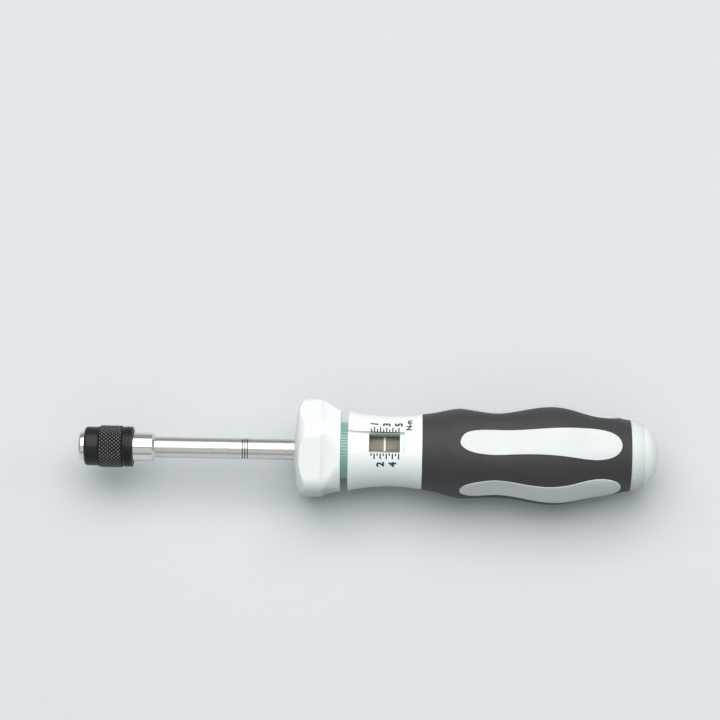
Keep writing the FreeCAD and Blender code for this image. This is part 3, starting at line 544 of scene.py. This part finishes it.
def flatText(name, text, size):
    # the letters as a thin mesh with its doubles merged and its long edges halved twice, so that it can bend
    curve = bpy.data.curves.new(name, "FONT")
    curve.body = text
    curve.size = size
    curve.offset = scaleText["stroke"] * size
    curve.extrude = (scalePrint["proud"] + scalePrint["sunk"]) / 2
    curve.resolution_u = 6
    curve.align_x = "CENTER"
    holder = bpy.data.objects.new(name, curve)
    bpy.context.scene.collection.objects.link(holder)
    mesh = bpy.data.meshes.new_from_object(holder.evaluated_get(bpy.context.evaluated_depsgraph_get()))
    bpy.data.objects.remove(holder)
    shape = bmesh.new()
    shape.from_mesh(mesh)
    bmesh.ops.remove_doubles(shape, verts=shape.verts, dist=size * scaleText["weld"])
    bmesh.ops.triangulate(shape, faces=shape.faces)
    for _ in range(2):
        longEdges = [e for e in shape.edges if e.calc_length() > size * scaleText["longestEdge"]]
        bmesh.ops.subdivide_edges(shape, edges=longEdges, cuts=1)
        bmesh.ops.triangulate(shape, faces=shape.faces)
    shape.to_mesh(mesh)
    shape.free()
    return mesh


def printText(name, text, size, x, aside):
    # the letters stand with their tops towards the bit: up becomes -X and the reading direction goes round
    mesh = flatText(name, text, size)
    local = np.empty(len(mesh.vertices) * 3)
    mesh.vertices.foreach_get("co", local)
    across, up, out = local.reshape(-1, 3).T
    middle = (up.min() + up.max()) / 2
    lift = (scalePrint["proud"] - scalePrint["sunk"]) / 2
    placed = onSleeve(x - (up - middle), aside - across, out + lift)
    mesh.vertices.foreach_set("co", placed.ravel())
    mesh.materials.clear()
    mesh.materials.append(materials["printInk"])
    mesh.update()
    piece = bpy.data.objects.new(name, mesh)
    bpy.context.scene.collection.objects.link(piece)
    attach(piece, "handle")


def printScale():
    # the marks, odd numbers above the window, even ones below it, and the unit's name
    printMarks()
    for number in range(1, scalePrint["marks"] + 1):
        aside = scaleText["upperDigits"] if number % 2 else scaleText["lowerDigits"]
        x = scalePrint["firstMark"] + scalePrint["pitch"] * (number - 1)
        printText("digit" + str(number), str(number), scaleText["digitSize"], x, aside)
    printText("unitName", "N-m", scaleText["unitSize"], *scaleText["unitPlace"])


printScale()
print("scale printed")

windowForm = {"width": 0.0074, "thickness": 0.00095, "edge": 0.00012, "pointsAlong": 60, "pointsRound": 24}


def clearWindow():
    # a curved strip: the outer skin is the sleeve's radius with its borders turned down by the edge, the inner
    # skin lies below it by the thickness, and a wall closes the two along their borders
    low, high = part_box("window_lens")
    edge, half = windowForm["edge"], windowForm["width"] / 2
    x = np.concatenate([[low.x], np.linspace(low.x + edge, high.x - edge, windowForm["pointsAlong"]), [high.x]])
    aside = np.concatenate([[-half], np.linspace(edge - half, half - edge, windowForm["pointsRound"]), [half]])
    x, aside = np.meshgrid(x, aside, indexing="ij")
    rows, columns = x.shape
    border = np.zeros(x.shape)
    border[[0, -1], :] = edge
    border[:, [0, -1]] = edge
    outer, inner = onSleeve(x, aside, -border), onSleeve(x, aside, -windowForm["thickness"])
    points = np.concatenate([outer.reshape(-1, 3), inner.reshape(-1, 3)])
    top = gridFaces(rows, columns)[:, ::-1]
    bottom = gridFaces(rows, columns, first=rows * columns)
    index = np.arange(rows * columns).reshape(rows, columns)
    rim = np.concatenate([index[0, :-1], index[:-1, -1], index[-1, :0:-1], index[:0:-1, 0]])
    after = np.roll(rim, -1)
    wall = np.stack([rim, after, after + rows * columns, rim + rows * columns], axis=-1)
    piece = meshFrom("clearWindow", points, np.concatenate([top, bottom, wall]), "clearLens", "handle")
    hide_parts("window_lens")


clearWindow()
print("window made")

# Floor, light and camera.
studio = {"floorSeen": srgb(206, 213, 214), "floorBounce": srgb(120, 122, 122), "floorSize": 3.0,
          "worldLevel": 0.56, "worldColour": srgb(204, 220, 221), "lampColour": (1.0, 0.9, 0.915),
          "lampTarget": (0.1, 0, 0)}
lamps = {"keyLight": {"place": (0.05, 0.18, 0.93), "size": (1.3, 1.2), "power": 11.6},
         "fillLight": {"place": (0.0, -0.75, 0.55), "size": (1.2, 0.7), "power": 0.9},
         "sideLight": {"place": (0.8, 0.1, 0.5), "size": (0.3, 0.3), "power": 0.6}}
view = {"lens": 137.0, "distance": 0.9317, "elevation": 62.6, "azimuth": 1.15,
        "toolCentre": (0.0984, 0.0, 0.0), "aside": -0.00287, "above": 0.03093}


def makeFloor():
    # a square under the tool; seen directly, in metal or through the window it is pale, and the light that it
    # throws back is less
    low, size = cadBox[0][2], studio["floorSize"]
    corners = [(-size, -size, low), (size, -size, low), (size, size, low), (-size, size, low)]
    mesh = bpy.data.meshes.new("floor")
    mesh.from_pydata(corners, [], [(0, 1, 2, 3)])
    material, tree, shader = newMaterial("paleFloor")
    grain = placeGroup(tree, mouldGrain, {"Grain Scale": 900.0, "Mottle Scale": 3.0})
    rays = tree.nodes.new("ShaderNodeLightPath").outputs
    seen = mathNode(tree, "MAXIMUM", rays["Is Camera Ray"], rays["Is Glossy Ray"])
    seen = mathNode(tree, "MAXIMUM", seen, rays["Is Transmission Ray"])
    colour = mixColours(tree, seen, studio["floorBounce"], studio["floorSeen"])
    tree.links.new(colour, shader.inputs["Base Color"])
    tree.links.new(spread(tree, grain["Mottle"], 0.75, 0.85), shader.inputs["Roughness"])
    shader.inputs["Specular IOR Level"].default_value = 0.1
    mesh.materials.append(material)
    floor = bpy.data.objects.new("floor", mesh)
    bpy.context.scene.collection.objects.link(floor)


def areaLamp(name, form):
    # a rectangle of light that faces the tool
    lamp = bpy.data.lights.new(name, "AREA")
    lamp.shape = "RECTANGLE"
    lamp.size, lamp.size_y = form["size"]
    lamp.energy = form["power"]
    lamp.color = studio["lampColour"]
    holder = bpy.data.objects.new(name, lamp)
    holder.location = form["place"]
    direction = Vector(studio["lampTarget"]) - Vector(form["place"])
    holder.rotation_euler = direction.to_track_quat("-Z", "Y").to_euler()
    bpy.context.scene.collection.objects.link(holder)


def makeWorld():
    # even light from all round
    world = bpy.data.worlds.new("studio")
    world.use_nodes = True
    background = world.node_tree.nodes["Background"]
    background.inputs["Color"].default_value = studio["worldColour"]
    background.inputs["Strength"].default_value = studio["worldLevel"]
    bpy.context.scene.world = world


def makeCamera():
    # forward is (-sin a * cos e, cos a * cos e, -sin e) for azimuth a and elevation e; the aim lies aside of and
    # above the tool's middle in the picture's plane, and the camera at its distance behind the aim
    up, turn = math.radians(view["elevation"]), math.radians(view["azimuth"])
    forward = Vector((-math.sin(turn) * math.cos(up), math.cos(turn) * math.cos(up), -math.sin(up)))
    right = Vector((math.cos(turn), math.sin(turn), 0))
    above = right.cross(forward)
    aim = Vector(view["toolCentre"]) + right * view["aside"] + above * view["above"]
    camera = bpy.data.cameras.new("camera")
    camera.lens = view["lens"]
    camera.sensor_width = 36
    holder = bpy.data.objects.new("camera", camera)
    holder.location = aim - forward * view["distance"]
    holder.rotation_euler = forward.to_track_quat("-Z", "Y").to_euler()
    bpy.context.scene.collection.objects.link(holder)
    bpy.context.scene.camera = holder


makeFloor()
makeWorld()
for name, form in lamps.items():
    areaLamp(name, form)
makeCamera()
bpy.context.scene.view_settings.view_transform = "Standard"
print("floor, light and camera made")
